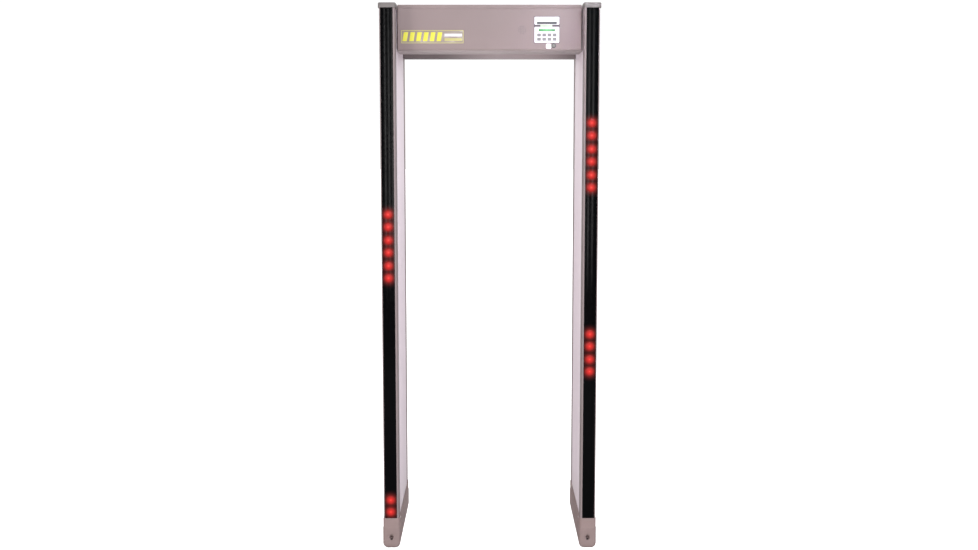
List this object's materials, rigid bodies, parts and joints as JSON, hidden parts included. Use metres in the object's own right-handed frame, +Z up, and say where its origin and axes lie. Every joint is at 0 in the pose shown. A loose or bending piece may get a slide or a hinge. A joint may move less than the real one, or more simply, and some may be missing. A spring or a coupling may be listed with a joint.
{
  "type": "walk-through metal detector gate",
  "caption": "Free-standing walk-through detection gate: side panels with light strips, overhead control unit with hinged lockable cover, rear crosspiece, anchored boots.",
  "frame": {"origin": "on the floor, in the middle of the footprint", "axes": "+Z up; people walk along +Y through the gate, the light strips and control unit face -Y; +X is to the right seen from the front"},
  "size_m": [0.885, 0.584, 2.226],
  "materials": {
    "panel_core": "matte",
    "laminate": "satin",
    "copper_coil": "satin",
    "edge_channel": "satin",
    "smoked_strip": "gloss",
    "circuit_board": "satin",
    "zone_light": "gloss",
    "cap_plastic": "satin",
    "boot_plastic": "matte",
    "bare_steel": "satin",
    "pad_rubber": "matte",
    "header_metal": "satin",
    "crosspiece_metal": "satin",
    "cover_metal": "satin",
    "hinge_steel": "satin",
    "supply_case": "satin",
    "battery_case": "satin",
    "terminal_green": "satin",
    "black_plastic": "satin",
    "rocker_red": "gloss",
    "white_plate": "satin",
    "display_glass": "gloss",
    "bar_green": "gloss",
    "light_pale": "satin",
    "badge_yellow": "satin",
    "key_grey": "matte",
    "lock_chrome": "polished",
    "lock_plug_metal": "satin"
  },
  "bodies": {
    "frame": {"core_left": "panel_core", "skins_left": "laminate", "coil_left": "copper_coil", "channel_front_left": "edge_channel", "channel_rear_left": "edge_channel", "lens_front_left": "smoked_strip", "lens_rear_left": "smoked_strip", "led_board_left": "circuit_board", "zone_lights_left": "zone_light", "cap_left": "cap_plastic", "boot_left": "boot_plastic", "boot_screws_left": "bare_steel", "pads_left": "pad_rubber", "core_right": "panel_core", "skins_right": "laminate", "coil_right": "copper_coil", "channel_front_right": "edge_channel", "channel_rear_right": "edge_channel", "lens_front_right": "smoked_strip", "lens_rear_right": "smoked_strip", "led_board_right": "circuit_board", "zone_lights_right": "zone_light", "cap_right": "cap_plastic", "boot_right": "boot_plastic", "boot_screws_right": "bare_steel", "pads_right": "pad_rubber", "chassis": "header_metal", "hinge_fixed": "hinge_steel", "hinge_pin": "bare_steel", "frame_bolts": "bare_steel", "power_supply": "supply_case", "battery": "battery_case", "terminal_block": "terminal_green", "switch_frame": "black_plastic", "cable_gland": "black_plastic", "crosspiece": "crosspiece_metal"},
    "cover": {"cover": "cover_metal", "hinge_cover": "hinge_steel", "control_base": "black_plastic", "display_plate": "white_plate", "display_window": "display_glass", "keypad_plate": "white_plate", "bargraph": "bar_green", "light_bar": "light_pale", "tile": "white_plate", "badge": "badge_yellow", "sounder": "black_plastic", "main_board": "circuit_board", "lock_body": "lock_chrome"},
    "lock_plug": {"lock_plug": "lock_plug_metal", "lock_cam": "bare_steel"},
    "rocker": {"rocker": "rocker_red"},
    "key_1": {"key_1": "key_grey"},
    "key_2": {"key_2": "key_grey"},
    "key_3": {"key_3": "key_grey"},
    "key_4": {"key_4": "key_grey"},
    "key_5": {"key_5": "key_grey"},
    "key_6": {"key_6": "key_grey"},
    "key_7": {"key_7": "key_grey"},
    "key_8": {"key_8": "key_grey"}
  },
  "joints": [
    {"name": "cover_hinge", "type": "hinge", "parent": "frame", "child": "cover", "pos_m": [0, -0.186, 2.217], "axis": [-1, 0, 0], "range_deg": [0, 95]},
    {"name": "lock_turn", "type": "hinge", "parent": "cover", "child": "lock_plug", "pos_m": [0.259, -0.2, 2.0635], "axis": [0, 1, 0], "range_deg": [0, 90]},
    {"name": "power_rocker", "type": "hinge", "parent": "frame", "child": "rocker", "pos_m": [-0.261, -0.005, 2.196], "axis": [1, 0, 0], "range_deg": [0, 12]},
    {"name": "key_1_press", "type": "slide", "parent": "cover", "child": "key_1", "axis": [0, 1, 0], "range_m": [0, 0.0008], "stiffness_N_per_m": 500, "springref_m": -0.0012},
    {"name": "key_2_press", "type": "slide", "parent": "cover", "child": "key_2", "axis": [0, 1, 0], "range_m": [0, 0.0008], "stiffness_N_per_m": 500, "springref_m": -0.0012},
    {"name": "key_3_press", "type": "slide", "parent": "cover", "child": "key_3", "axis": [0, 1, 0], "range_m": [0, 0.0008], "stiffness_N_per_m": 500, "springref_m": -0.0012},
    {"name": "key_4_press", "type": "slide", "parent": "cover", "child": "key_4", "axis": [0, 1, 0], "range_m": [0, 0.0008], "stiffness_N_per_m": 500, "springref_m": -0.0012},
    {"name": "key_5_press", "type": "slide", "parent": "cover", "child": "key_5", "axis": [0, 1, 0], "range_m": [0, 0.0008], "stiffness_N_per_m": 500, "springref_m": -0.0012},
    {"name": "key_6_press", "type": "slide", "parent": "cover", "child": "key_6", "axis": [0, 1, 0], "range_m": [0, 0.0008], "stiffness_N_per_m": 500, "springref_m": -0.0012},
    {"name": "key_7_press", "type": "slide", "parent": "cover", "child": "key_7", "axis": [0, 1, 0], "range_m": [0, 0.0008], "stiffness_N_per_m": 500, "springref_m": -0.0012},
    {"name": "key_8_press", "type": "slide", "parent": "cover", "child": "key_8", "axis": [0, 1, 0], "range_m": [0, 0.0008], "stiffness_N_per_m": 500, "springref_m": -0.0012}
  ]
}
